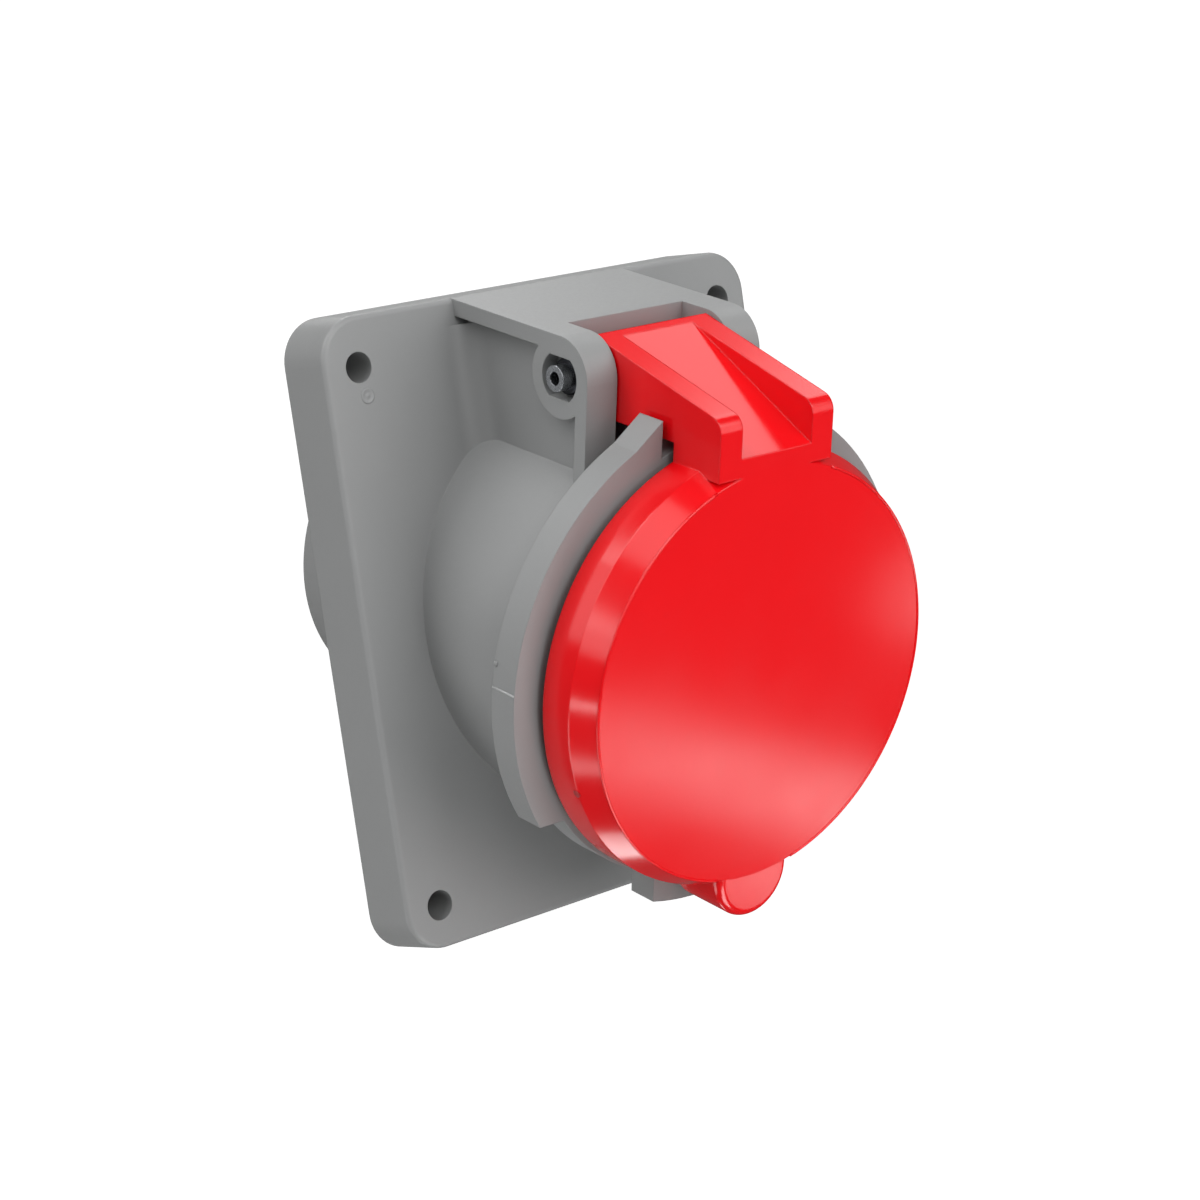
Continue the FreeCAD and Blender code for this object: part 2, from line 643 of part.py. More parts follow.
def make_lid():
    """One moulding: round cap, finger tab, two hinge arms and the sloping web between them."""
    part = SubPart("lid")
    tab = part.across(lid_rear)
    add_circle(tab, tab_radius, 0, -tab_drop)
    part.pad(tab, tab_front - lid_rear)
    part.soften("Fillet", lambda point: near(-point.y, tab_front), tab_edge)

    rim_square = lid_rim_radius * lid_rim_radius
    sag = (rim_square - crown_flat * crown_flat - crown_rise * crown_rise) / (crown_rise * 2)
    dome = root(rim_square + sag * sag)
    cap = part.beside()
    corners = [(-lid_crown, crown_flat), (-lid_crown, 0), (-lid_rear, 0), (-lid_rear, lid_radius),
               (-lid_bevel_start, lid_radius), (-lid_rim_front, lid_rim_radius)]
    for start, end in zip(corners, corners[1:]):
        cap.addGeometry(Part.LineSegment(vector(*start), vector(*end)), False)
    circle = Part.Circle(vector(sag - lid_rim_front, 0), FreeCAD.Vector(0, 0, 1), float(dome))
    half, start = math.asin(lid_rim_radius / dome), math.asin(crown_flat / dome)
    arc = cap.addGeometry(Part.ArcOfCircle(circle, math.pi - half, math.pi - start), False)
    last = len(corners) - 2
    for index in range(last):
        cap.addConstraint(Sketcher.Constraint("Coincident", index, 2, index + 1, 1))
    cap.addConstraint(Sketcher.Constraint("Coincident", last, 2, arc, 1))
    cap.addConstraint(Sketcher.Constraint("Coincident", 0, 1, arc, 2))
    cap.addConstraint(Sketcher.Constraint("PointOnObject", arc, 3, -1))
    for index, corner in enumerate(corners[:-1]):
        locate(cap, index, 1, *corner)
    locate(cap, last, 2, *corners[-1])
    part.feature("Revolution", cap, True, ReferenceAxis=(cap, ["H_Axis"]), Angle=360.0)

    arms = part.beside()
    add_polygon(arms, [(-arm_rear, arm_rear_up), (-tab_front, arm_front_up), (-tab_front, lid_inside - 1),
                       (-lid_rear, lid_inside - 1), (-lid_rear, arm_under), (-pin_forward, arm_under),
                       (-pin_forward, pin_up)])
    part.pad(arms, arm_half * 2, middle=True)
    part.soften("Fillet", lambda point: near(-point.y, tab_front) and near(point.z, arm_front_up), arm_nose)
    barrel = part.beside()
    add_circle(barrel, barrel_radius, -pin_forward, pin_up)
    part.pad(barrel, arm_half * 2, middle=True)
    fall = (web_rear_up - web_front_up) / (web_front - web_rear)
    slot = part.beside()
    add_polygon(slot, [(-web_rear, web_rear_up), (-web_front, web_front_up),
                       (-web_front - overrun, web_front_up - fall * overrun),
                       (-web_front - overrun, web_rear_up + overrun), (-web_rear, web_rear_up + overrun)])
    part.cut(slot, arm_gap_half * 2, middle=True)
    under = part.beside()
    back = barrel_radius + 1 - pin_forward
    add_polygon(under, [(-pin_forward, pin_up), (-web_rear, web_rear_up - web_wall),
                        (-lid_rear, web_rear_up - web_wall - fall * (lid_rear - web_rear)),
                        (-lid_rear, lid_radius - 1), (back, lid_radius - 1), (back, pin_up - 2)])
    part.cut(under, spring_room_half * 2, middle=True)
    room = part.beside()
    add_circle(room, spring_room_radius, -pin_forward, pin_up)
    part.cut(room, spring_room_half * 2, middle=True)

    inside = part.across(lid_ceiling)
    add_circle(inside, lid_inside)
    part.cut(inside, lid_ceiling - lid_rear)
    tab_room = part.across(lid_ceiling)
    add_circle(tab_room, tab_inside, 0, -tab_drop)
    part.cut(tab_room, lid_ceiling - lid_rear)
    bore = part.beside()
    add_circle(bore, pin_radius + pin_clearance, -pin_forward, pin_up)
    part.cut(bore, arm_half * 2 + 2, middle=True)
    return part


def make_tube(name, start, end, outside, inside):
    """Make a ring about the socket axis between two stations."""
    part = SubPart(name)
    part.turn([(start, inside), (end, inside), (end, outside), (start, outside)])
    return part


def make_hinge_pin():
    """Hollow steel pin across both ears."""
    part = SubPart("hinge_pin")
    ends = part.beside()
    add_circle(ends, pin_radius, -pin_forward, pin_up)
    add_circle(ends, pin_bore, -pin_forward, pin_up)
    part.pad(ends, (block_half + pin_proud) * 2, middle=True)
    return part


def make_pin_retainers():
    """Round-edged ring on each end of the pin, at the bottom of its recess."""
    part = SubPart("pin_retainers", many=True)
    floor = block_half - seat_depth
    for start in (floor, -floor - retainer_length):
        face = part.beside(start)
        add_circle(face, retainer_radius, -pin_forward, pin_up)
        add_circle(face, pin_radius, -pin_forward, pin_up)
        part.pad(face, retainer_length)
    outer = floor + retainer_length
    part.soften("Fillet", lambda point: near(abs(point.x), outer) and
                near(math.hypot(-point.y - pin_forward, point.z - pin_up), retainer_radius), retainer_edge)
    return part


def make_hinge_spring():
    """Torsion spring round the pin: one tail on the housing, one under the web of the lid."""
    part = SubPart("hinge_spring", many=True)
    half_length = coil_spacing * spring_turns / 2
    section = part.across(pin_forward)
    left, right = vector(-half_length, pin_up), vector(half_length, pin_up)
    axis = section.addGeometry(Part.LineSegment(left, right), True)
    locate(section, axis, 1, -half_length, pin_up)
    locate(section, axis, 2, half_length, pin_up)
    add_circle(section, spring_wire, -half_length, pin_up - spring_coil)
    coil = part.body.newObject("PartDesign::AdditiveHelix", "hinge_spring_coil")
    coil.Profile = section
    coil.ReferenceAxis = (section, ["Axis0"])
    coil.Mode = "pitch-turns-angle"
    coil.LeftHanded = True
    bind(coil, "Pitch", coil_spacing)
    bind(coil, "Turns", spring_turns + spring_lift / 360)
    tail = part.across(pin_forward - spring_tail)
    add_circle(tail, spring_wire, -half_length, pin_up - spring_coil)
    part.pad(tail, spring_tail)
    base = (0, pin_up - cosine(spring_lift) * spring_coil, pin_forward + sine(spring_lift) * spring_coil)
    arm = part.sketch(XZ, base=base, axis=(1, 0, 0), angle=-spring_lift)
    add_circle(arm, spring_wire, half_length + coil_spacing * spring_lift / 360, 0)
    part.pad(arm, spring_arm)
    return part


line_angles = [Size(342, "342"), Size(54, "54"), Size(126, "126"), Size(198, "198")]
earth_angle = Size(270, "270")
shell_screw_angles = [Size(18, "18"), Size(162, "162"), Size(234, "234"), Size(306, "306")]
carrier_screw_angles = shell_screw_angles[:2]
contact_plan = [("line_contact_1", line_angles[3], line_pin), ("line_contact_2", line_angles[2], line_pin),
                ("line_contact_3", line_angles[1], line_pin), ("neutral_contact", line_angles[0], line_pin),
                ("earth_contact", earth_angle, earth_pin)]


def on_circle(circle, angle):
    """Return where a point lies at an angle on a circle about the socket axis."""
    return circle * cosine(angle), circle * sine(angle)


def make_contact(name, angle, pin):
    """Split sleeve with its stop collar and terminal pillar, in one piece of brass."""
    part = SubPart(name)
    x, up = on_circle(contact_circle, angle)
    sleeve = pin + sleeve_wall
    pillar = sleeve + pillar_extra
    rod = part.across(-pillar_rear)
    add_circle(rod, pillar, x, up)
    part.pad(rod, pillar_rear + ledge_length)
    front = part.across(ledge_length)
    add_circle(front, sleeve, x, up)
    part.pad(front, sleeve_front - ledge_length)
    stop = part.across(ledge_length)
    add_circle(stop, sleeve + channel_gap, x, up)
    part.pad(stop, stop_length)
    hole = part.across(sleeve_front)
    add_circle(hole, pin, x, up)
    part.cut(hole, sleeve_front - sleeve_root)
    slit = part.across(sleeve_front)
    add_box(slit, x - sleeve_slot / 2, x + sleeve_slot / 2, up - sleeve - 1, up + sleeve + 1)
    part.cut(slit, sleeve_front - sleeve_root - 2)
    wire = part.across(wire_depth - pillar_rear)
    add_circle(wire, wire_bore, x, up)
    part.cut(wire, wire_depth)
    thread = part.facing(angle, contact_circle + pillar + 1)
    add_circle(thread, clamp_radius, clamp_back, 0)
    part.cut(thread, pillar + 1)
    return part


def make_contact_spring(name, angle, pin):
    """Open steel ring that squeezes one split sleeve."""
    part = SubPart(name)
    x, up = on_circle(contact_circle, angle)
    sleeve = pin + sleeve_wall
    band = part.across(spring_ring_front - spring_ring_length)
    add_circle(band, sleeve + spring_ring_wall, x, up)
    add_circle(band, sleeve, x, up)
    part.pad(band, spring_ring_length)
    opening = part.across(spring_ring_front)
    add_box(opening, x, x + sleeve + spring_ring_wall + 1, up - sleeve_slot, up + sleeve_slot)
    part.cut(opening, spring_ring_length)
    return part


def make_contact_carrier():
    """Insulating insert: a round core with five entries, seated on the ledge in the collar."""
    part = SubPart("contact_carrier")
    part.turn([(ledge_length, 0), (carrier_front, 0), (carrier_front, carrier_radius),
               (ledge_length, carrier_radius)])
    part.soften("Chamfer", lambda point: near(-point.y, carrier_front), carrier_edge)
    entries = part.across(carrier_front)
    channels = part.across(channel_front)
    stops = part.across(ledge_length + stop_length)
    for name, angle, pin in contact_plan:
        x, up = on_circle(contact_circle, angle)
        add_circle(entries, pin + entry_clearance, x, up)
        add_circle(channels, pin + sleeve_wall + channel_gap - stop_extra, x, up)
        add_circle(stops, pin + sleeve_wall + channel_gap + insert_clearance, x, up)
    part.cut(entries, carrier_front)
    part.cut(channels, channel_front - ledge_length)
    part.cut(stops, stop_length)
    screws = part.across(ledge_length + carrier_screw_length - 2)
    for angle in carrier_screw_angles:
        add_circle(screws, screw_radius, *on_circle(carrier_screw_circle, angle))
    part.cut(screws, carrier_screw_length - 2)
    return part


def make_retaining_plate():
    """Plate that closes the carrier from behind and holds the contacts in."""
    part = SubPart("retaining_plate")
    disc = part.across(0)
    add_circle(disc, plate_radius)
    for name, angle, pin in contact_plan:
        x, up = on_circle(contact_circle, angle)
        add_circle(disc, pin + sleeve_wall + pillar_extra + pillar_clearance / 2, x, up)
    for angle in carrier_screw_angles:
        add_circle(disc, screw_radius, *on_circle(carrier_screw_circle, angle))
    part.pad(disc, ledge_length)
    heads = part.across(screw_head_length)
    for angle in carrier_screw_angles:
        add_circle(heads, screw_head + head_clearance, *on_circle(carrier_screw_circle, angle))
    part.cut(heads, screw_head_length)
    return part


def make_terminal_housing():
    """Grey block behind the flange with a bore for each terminal and an access hole for each screw."""
    part = SubPart("terminal_housing")
    front = -seal_length
    part.turn([(-shell_rear, 0), (front, 0), (front, bore_radius - insert_clearance),
               (front - shell_step, bore_radius - insert_clearance), (front - shell_step, shell_radius),
               (-shell_rear, shell_radius)])
    part.soften("Chamfer", lambda point: near(-point.y, -shell_rear), shell_edge)
    bores = part.across(0)
    for name, angle, pin in contact_plan:
        x, up = on_circle(contact_circle, angle)
        add_circle(bores, pin + sleeve_wall + pillar_extra + pillar_clearance, x, up)
    part.cut(bores, shell_rear + 1)
    for name, angle, pin in contact_plan:
        access = part.facing(angle, shell_radius + 1)
        add_circle(access, access_radius, clamp_back, 0)
        part.cut(access, shell_radius + 1 - contact_circle)
    seats = part.across(-shell_screw_seat)
    holes = part.across(0)
    for angle in shell_screw_angles:
        add_circle(seats, screw_head + head_clearance, *on_circle(shell_screw_circle, angle))
        add_circle(holes, screw_radius, *on_circle(shell_screw_circle, angle))
    part.cut(seats, shell_rear - shell_screw_seat + 1)
    part.cut(holes, shell_screw_seat + 1)
    return part


def make_screws(name, head_rear, length, circle, angles):
    """Slotted cheese head screws that point forward, all in one group."""
    part = SubPart(name, many=True)
    shanks = part.across(-head_rear)
    heads = part.across(-head_rear - screw_head_length)
    slots = part.across(screw_slot_depth - head_rear - screw_head_length)
    for angle in angles:
        x, up = on_circle(circle, angle)
        add_circle(heads, screw_head, x, up)
        add_circle(shanks, screw_radius, x, up)
        add_box(slots, x - screw_head - 1, x + screw_head + 1, up - screw_slot / 2, up + screw_slot / 2)
    part.pad(heads, screw_head_length)
    part.pad(shanks, length)
    part.cut(slots, screw_slot_depth)
    return part


def make_terminal_screws():
    """Five headless clamp screws, one in each terminal pillar."""
    part = SubPart("terminal_screws", many=True)
    tip = contact_circle + wire_bore - 0.7
    for name, angle, pin in contact_plan:
        screw = part.facing(angle, tip)
        add_circle(screw, clamp_radius, clamp_back, 0)
        part.pad(screw, clamp_top - tip)
    for name, angle, pin in contact_plan:
        slot = part.facing(angle, clamp_top)
        add_box(slot, clamp_back - clamp_radius - 1, clamp_back + clamp_radius + 1,
                -clamp_slot / 2, clamp_slot / 2)
        part.cut(slot, clamp_slot)
    return part


def make_body_seal():
    """Flat seal between the terminal housing and the ledge of the flange housing."""
    part = SubPart("body_seal")
    ring = part.across(-seal_length)
    add_circle(ring, bore_radius - insert_clearance)
    add_circle(ring, ledge_bore)
    for angle in shell_screw_angles:
        add_circle(ring, screw_radius, *on_circle(shell_screw_circle, angle))
    part.pad(ring, seal_length)
    return part


def make_flange_gasket():
    """Gasket that fills the groove in the back of the flange."""
    part = SubPart("flange_gasket", in_socket=False)
    loop = part.across(0)
    draw_gasket_loop(loop)
    part.pad(loop, groove_depth)
    return part


sub_parts = [make_flange_housing(), make_lid(),
             make_tube("lid_gasket", mouth_front, lid_ceiling, gasket_outside, gasket_inside),
             make_hinge_pin(), make_pin_retainers(), make_hinge_spring(),
             make_contact_carrier(), make_retaining_plate()]
for name, angle, pin in contact_plan:
    sub_parts.append(make_contact(name, angle, pin))
for name, angle, pin in contact_plan:
    sub_parts.append(make_contact_spring(name.replace("contact", "spring_ring"), angle, pin))
sub_parts.append(make_terminal_screws())
sub_parts.append(make_screws("carrier_screws", Size(0, "0") - screw_head_length, carrier_screw_length,
                             carrier_screw_circle, carrier_screw_angles))
sub_parts.append(make_terminal_housing())
sub_parts.append(make_screws("housing_screws", shell_screw_seat, shell_screw_length,
                             shell_screw_circle, shell_screw_angles))
sub_parts.append(make_body_seal())
sub_parts.append(make_flange_gasket())

doc.recompute()
for item in doc.Objects:
    if "Invalid" in item.State or "Error" in item.State:
        raise RuntimeError("{} failed: {}".format(item.Name, item.State))
os.makedirs("parts", exist_ok=True)
for part in sub_parts:
    shape = part.body.Shape
    if shape.isNull() or not shape.isValid():
        raise RuntimeError(part.name + " has no valid shape")
    shape.exportStep("parts/{}.step".format(part.name))
    print("{:22s} {:9.1f} mm3  {} solid(s)".format(part.name, shape.Volume, len(shape.Solids)))
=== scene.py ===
"""Looks of an industrial panel socket: satin grey housing, glossy red sprung lid, steel pin, brass contacts.

Everything is in metres in the CAD frame: +Z up, X to the right, the socket looks towards -Y. The
socket itself leans forward, so places on it are given along and across its own axis, in millimetres.
"""
import logging
import math
from dataclasses import dataclass
from enum import Enum
from functools import lru_cache
from typing import Dict, List, Optional, Sequence, Tuple

import bmesh
import bpy
from mathutils import Matrix, Vector


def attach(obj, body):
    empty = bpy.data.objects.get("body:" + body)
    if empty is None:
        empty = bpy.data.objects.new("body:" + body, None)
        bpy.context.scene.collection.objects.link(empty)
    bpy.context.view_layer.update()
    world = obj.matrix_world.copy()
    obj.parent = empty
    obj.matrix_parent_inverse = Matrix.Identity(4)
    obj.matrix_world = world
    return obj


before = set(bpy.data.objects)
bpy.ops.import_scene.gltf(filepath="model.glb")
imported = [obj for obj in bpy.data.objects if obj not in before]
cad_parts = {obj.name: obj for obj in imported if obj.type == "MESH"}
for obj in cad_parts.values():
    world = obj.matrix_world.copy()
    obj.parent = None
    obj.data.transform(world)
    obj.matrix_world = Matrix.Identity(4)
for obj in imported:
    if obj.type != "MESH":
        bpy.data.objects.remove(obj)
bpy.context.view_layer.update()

LOG = logging.getLogger("panel_socket")
MM = 0.001
# How far the small pieces reach into what they sit on, in millimetres.
SUNK = -0.2
# The colour sockets of a Mix node that mixes colours.
MIX_FIRST, MIX_SECOND, MIX_RESULT = 6, 7, 2
WHITE = "#FFFFFF"
Vec = Tuple[float, float, float]
Profile = Sequence[Tuple[float, float]]


@dataclass(frozen=True)
class SocketAxis:
    """The leaning axis of the socket, which the lid, the collar and the contacts are built round."""

    lean: float = math.radians(15)
    origin_y: float = -12.3
    origin_z: float = -0.8

    def point(self, forward: float, radius: float, angle: float) -> Vector:
        """Return a place in metres.

        Args:
            forward: Millimetres along the axis, from the flange's front.
            radius: Millimetres from the axis.
            angle: Degrees round the axis, from the right and counterclockwise seen from the front.

        Returns:
            The place in the CAD frame.
        """
        across = radius * math.cos(math.radians(angle))
        up = radius * math.sin(math.radians(angle))
        return Vector((across,
                       self.origin_y - forward * math.cos(self.lean) - up * math.sin(self.lean),
                       self.origin_z - forward * math.sin(self.lean) + up * math.cos(self.lean))) * MM

    def outward(self, angle: float) -> Vector:
        """Return the direction straight away from the axis at an angle in degrees."""
        return (self.point(0, 1, angle) - self.point(0, 0, angle)).normalized()

    def forward(self) -> Vector:
        """Return the direction that the socket looks in."""
        return (self.point(1, 0, 0) - self.point(0, 0, 0)).normalized()


AXIS = SocketAxis()


def linear(value: str) -> Tuple[float, float, float, float]:
    """Turn an sRGB hex value into a linear colour.

    Args:
        value: Six hex digits, with or without a leading hash.

    Returns:
        Red, green, blue and alpha, linear.
    """
    digits = value.lstrip("#")
    parts = [int(digits[i:i + 2], 16) / 255 for i in (0, 2, 4)]
    red, green, blue = [c / 12.92 if c <= 0.04045 else ((c + 0.055) / 1.055) ** 2.4 for c in parts]
    return red, green, blue, 1.0


def add_node(tree: bpy.types.NodeTree, kind: str, settings: Optional[Dict[str, object]] = None,
             links: Optional[Dict[str, bpy.types.NodeSocket]] = None) -> bpy.types.Node:
    """Add one node, set it and link its inputs.

    Args:
        tree: The node tree it goes in.
        kind: The node's type name.
        settings: Properties, or default values of inputs, by name.
        links: Output sockets to link, by the name of the input.

    Returns:
        The new node.
    """
    node = tree.nodes.new(kind)
    for name, value in (settings or {}).items():
        if name in node.inputs:
            node.inputs[name].default_value = value
        else:
            setattr(node, name, value)
    for name, socket in (links or {}).items():
        tree.links.new(socket, node.inputs[name])
    return node


def per_metre(size_mm: float) -> float:
    """Return the scale that gives a pattern features of a real size in millimetres."""
    return 1.0 / (size_mm * MM)


class Grain(Enum):
    """How the surface was made."""

    SPARK_ERODED = "mould texture left by spark erosion"
    POLISHED = "polished mould"
    TURNED = "turned or drawn, with fine lines round or along the part"
    MATT = "matt, as moulded rubber"


@dataclass(frozen=True)
class Finish:
    """One finish: a real material and how its surface was made.

    The grain is a real size in millimetres. A texture finer than about 0.4 mm wouldn't show, so
    it is drawn at that size.
    """

    name: str
    colour: str
    mottle: str
    roughness: float
    ior: float = 1.5
    metallic: float = 0.0
    grain: Grain = Grain.SPARK_ERODED
    grain_mm: float = 0.5
    grain_depth: float = 0.02
    roughness_spread: float = 0.06
    mottle_mm: float = 14.0
    edge_mm: float = 0.25
    axis: Vec = (0.0, 0.0, 1.0)
    edge_samples: int = 6
    mottle_detail: float = 4.0
    mottle_roughness: float = 0.6
    grain_detail: float = 3.0
    grain_roughness: float = 0.55
    relief_low: float = 0.3
    relief_high: float = 0.7
    drawn_ratio: float = 12.0

    @lru_cache(maxsize=None)
    def material(self) -> bpy.types.Material:
        """Build the finish as a node material, once.

        Returns:
            The material.
        """
        material = bpy.data.materials.new(self.name)
        material.use_nodes = True
        tree = material.node_tree
        tree.nodes.clear()
        place = add_node(tree, "ShaderNodeTexCoord").outputs["Object"]
        shade = add_node(tree, "ShaderNodeTexNoise",
                         {"Scale": per_metre(self.mottle_mm), "Detail": self.mottle_detail,
                          "Roughness": self.mottle_roughness},
                         {"Vector": place})
        colour = add_node(tree, "ShaderNodeMix", {"data_type": "RGBA"}, {"Factor": shade.outputs["Fac"]})
        colour.inputs[MIX_FIRST].default_value = linear(self.colour)
        colour.inputs[MIX_SECOND].default_value = linear(self.mottle)
        height = self.height(tree, place)
        sheen = add_node(tree, "ShaderNodeMapRange",
                         {"From Min": self.relief_low, "From Max": self.relief_high,
                          "To Min": self.roughness - self.roughness_spread / 2,
                          "To Max": self.roughness + self.roughness_spread / 2},
                         {"Value": height})
        edge = add_node(tree, "ShaderNodeBevel",
                        {"samples": self.edge_samples, "Radius": self.edge_mm * MM})
        bump = add_node(tree, "ShaderNodeBump",
                        {"Strength": 1.0, "Distance": self.grain_depth * MM},
                        {"Height": height, "Normal": edge.outputs["Normal"]})
        shader = add_node(tree, "ShaderNodeBsdfPrincipled",
                          {"Metallic": self.metallic, "IOR": self.ior},
                          {"Base Color": colour.outputs[MIX_RESULT], "Roughness": sheen.outputs["Result"],
                           "Normal": bump.outputs["Normal"]})
        add_node(tree, "ShaderNodeOutputMaterial", links={"Surface": shader.outputs["BSDF"]})
        return material

    def height(self, tree: bpy.types.NodeTree, place: bpy.types.NodeSocket) -> bpy.types.NodeSocket:
        """Build the small relief of the surface.

        Args:
            tree: The material's node tree.
            place: Coordinates in the object's own space, in metres.

        Returns:
            The socket with the relief, from 0 to 1.
        """
        if self.grain is Grain.TURNED:
            stretch = [1.0 if abs(a) < 0.5 else self.drawn_ratio for a in self.axis]
            drawn = add_node(tree, "ShaderNodeVectorMath", {"operation": "MULTIPLY"})
            tree.links.new(place, drawn.inputs[0])
            drawn.inputs[1].default_value = stretch
            place = drawn.outputs["Vector"]
        noise = add_node(tree, "ShaderNodeTexNoise",
                         {"Scale": per_metre(self.grain_mm), "Detail": self.grain_detail,
                          "Roughness": self.grain_roughness},
                         {"Vector": place})
        return noise.outputs["Fac"]


# Glass-filled polyamide, satin grey: light spark-erosion texture, broad soft highlights.
GREY_POLYAMIDE = Finish("grey_polyamide_moulded", "#8D8E8E", "#898A8A", 0.46, 1.53,
                        grain_mm=0.7, grain_depth=0.012)
# The same polyamide on the thin ridge of a parting line: smoother, and lighter as a painted highlight along
# the ridge.
GREY_FLASH_PAINTED_HIGHLIGHT = Finish("grey_polyamide_flash_painted_highlight", "#B4B5B5", "#A9AAAA", 0.36, 1.53,
                    grain_mm=0.5, grain_depth=0.005)
# Polyamide coloured through in red, from a polished mould: clear highlights, faint flow waves.
RED_POLYAMIDE = Finish("red_polyamide_glossy", "#E50E16", "#DF0C14", 0.16, 1.53, grain=Grain.POLISHED,
                       grain_mm=9.0, grain_depth=0.01, roughness_spread=0.03, edge_mm=0.4)
# The same polyamide, duller and darker red, on the little stub on the lid's skirt.
RED_DARKER_STUB = Finish("red_polyamide_darker_stub", "#A8090F", "#96080D", 0.5, 1.53, grain_mm=0.4, grain_depth=0.01)
# EPDM rubber: near black, dull.
BLACK_EPDM = Finish("black_epdm_rubber", "#1C1C1E", "#242426", 0.62, 1.5, grain=Grain.MATT,
                    grain_mm=0.5, grain_depth=0.015)
# Steel, bright zinc plated, turned.
ZINC_STEEL = Finish("zinc_plated_steel", "#C6C8CC", "#B4B7BC", 0.27, metallic=1.0,
                    grain=Grain.TURNED, grain_mm=0.5, grain_depth=0.004, axis=(1.0, 0.0, 0.0), edge_mm=0.15)
# Phosphated spring steel: dark grey, faintly oiled.
DARK_STEEL = Finish("phosphated_spring_steel", "#4A4B4E", "#3B3C40", 0.38, metallic=1.0,
                    grain=Grain.TURNED, grain_mm=0.5, grain_depth=0.004, axis=(1.0, 0.0, 0.0), edge_mm=0.15)
# Glass-filled PBT, dark grey: the insulating insert.
DARK_PBT = Finish("dark_pbt_insert", "#303234", "#2B2D2F", 0.5, 1.55, grain_mm=0.6, grain_depth=0.012)
# Drawn brass rod, turned.
DRAWN_BRASS = Finish("drawn_brass", "#CDA65A", "#BE9648", 0.24, metallic=1.0, grain=Grain.TURNED,
                     grain_mm=0.5, grain_depth=0.004, axis=(0.0, 1.0, 0.0), edge_mm=0.15)


def swept(section: Profile, places: Sequence[Tuple[Vector, Vector, Vector]]) -> bmesh.types.BMesh:
    """Sweep a closed section along a row of places into a closed mesh.

    Args:
        section: Pairs in millimetres, along each place's first and second direction.
        places: An origin in metres and two directions for each step.

    Returns:
        The mesh, with its faces looking outward.
    """
    shape = bmesh.new()
    rings = [[shape.verts.new(origin + (first * a + second * b) * MM) for a, b in section]
             for origin, first, second in places]
    around = len(section)
    for low, high in zip(rings, rings[1:]):
        for i in range(around):
            shape.faces.new([low[i], low[(i + 1) % around], high[(i + 1) % around], high[i]])
    shape.faces.new(rings[0])
    shape.faces.new(rings[-1])
    bmesh.ops.recalc_face_normals(shape, faces=shape.faces)
    return shape


def oval(across: float, up: float, steps: int = 12) -> Profile:
    """Draw an oval section.

    Args:
        across: Half its width in millimetres.
        up: Half its height in millimetres.
        steps: How many corners it has.

    Returns:
        Its corners.
    """
    return [(across * math.cos(math.tau * i / steps), up * math.sin(math.tau * i / steps))
            for i in range(steps)]


def turned(profile: Profile, place: Vector, facing: Vector, steps: int = 32) -> bmesh.types.BMesh:
    """Turn a profile round a line into a closed mesh.

    Args:
        profile: Radius and height pairs in millimetres, from one end on the line to the other.
        place: Where height 0 is on the line, in metres.
        facing: The direction in which height grows.
        steps: How many faces go round.

    Returns:
        The mesh, with its faces looking outward.
    """
    turn = Vector((0, 0, 1)).rotation_difference(facing).to_matrix()
    shape = bmesh.new()
    rings: List[List[bmesh.types.BMVert]] = []
    for radius, height in profile:
        around = steps if radius > 0 else 1
        rings.append([shape.verts.new(place + turn @ (Vector((
            radius * math.cos(math.tau * i / steps), radius * math.sin(math.tau * i / steps), height)) * MM))
            for i in range(around)])
    for low, high in zip(rings, rings[1:]):
        for i in range(steps):
            corners = [low[i % len(low)], low[(i + 1) % len(low)],
                       high[(i + 1) % len(high)], high[i % len(high)]]
            shape.faces.new(list(dict.fromkeys(corners)))
    bmesh.ops.recalc_face_normals(shape, faces=shape.faces)
    return shape


def raised(shares: Profile, radius: float, height: float, place: Vector, facing: Vector,
           steps: int = 32) -> bmesh.types.BMesh:
    """Turn a low round mark that stands on a surface.

    Args:
        shares: Its outline from the rim inward, as shares of the radius and of the height.
        radius: Its radius in millimetres.
        height: Its height in millimetres.
        place: Its middle on the surface, in metres.
        facing: The direction that the surface faces.
        steps: How many faces go round.

    Returns:
        The mesh.
    """
    outline = [(radius * across, height * up) for across, up in shares]
    return turned([(0, SUNK), (radius, SUNK)] + outline, place, facing, steps)


class SubAssembly:
    """What the sub-assemblies share: dressing CAD nodes and adding small pieces of their own."""

    def dress(self, names: Sequence[str], finish: Finish, slot: str) -> None:
        """Give CAD nodes their finish.

        Args:
            names: The CAD nodes.
            finish: What they are made of.
            slot: Not used.
        """
        for name in names:
            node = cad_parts[name]
            node.data.materials.clear()
            node.data.materials.append(finish.material())
            LOG.info("dressed %s in %s", name, finish.name)

    def piece(self, name: str, shape: bmesh.types.BMesh, finish: Finish, slot: str, body: str) -> None:
        """Add a small piece that moves with a body.

        Args:
            name: The piece's name.
            shape: Its mesh, which this call uses up.
            finish: What it is made of.
            slot: Not used.
            body: The CAD body that it rides on.
        """
        mesh = bpy.data.meshes.new(name)
        shape.to_mesh(mesh)
        shape.free()
        mesh.shade_smooth()
        mesh.materials.append(finish.material())
        made = bpy.data.objects.new(name, mesh)
        bpy.context.scene.collection.objects.link(made)
        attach(made, body)
        LOG.info("built %s in %s", name, finish.name)


